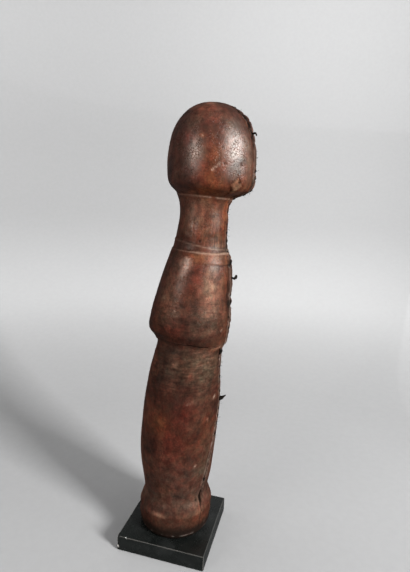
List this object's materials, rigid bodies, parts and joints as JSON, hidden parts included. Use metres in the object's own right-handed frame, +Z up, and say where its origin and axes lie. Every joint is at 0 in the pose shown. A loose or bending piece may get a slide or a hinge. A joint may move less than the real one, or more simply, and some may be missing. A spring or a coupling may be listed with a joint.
{
  "type": "leather-covered wooden doll",
  "caption": "Carved wooden doll with a plain egg-shaped head and a legless body, tightly covered in sewn leather and set on a black square block.",
  "frame": {"origin": "centre of the block's underside", "axes": "+Z up, the doll faces -Y and its sewn back is at +Y"},
  "size_m": [0.06, 0.0757, 0.2899],
  "materials": {
    "leather": "old red-brown leather, handled to a soft gloss, darker in the hollows",
    "sinew_thread": "dark waxed thread, dull",
    "black_wood": "satin black paint, worn at the edges"
  },
  "bodies": {
    "root": {"doll": "leather", "seam_thread": "sinew_thread", "base_block": "black_wood"}
  },
  "joints": []
}
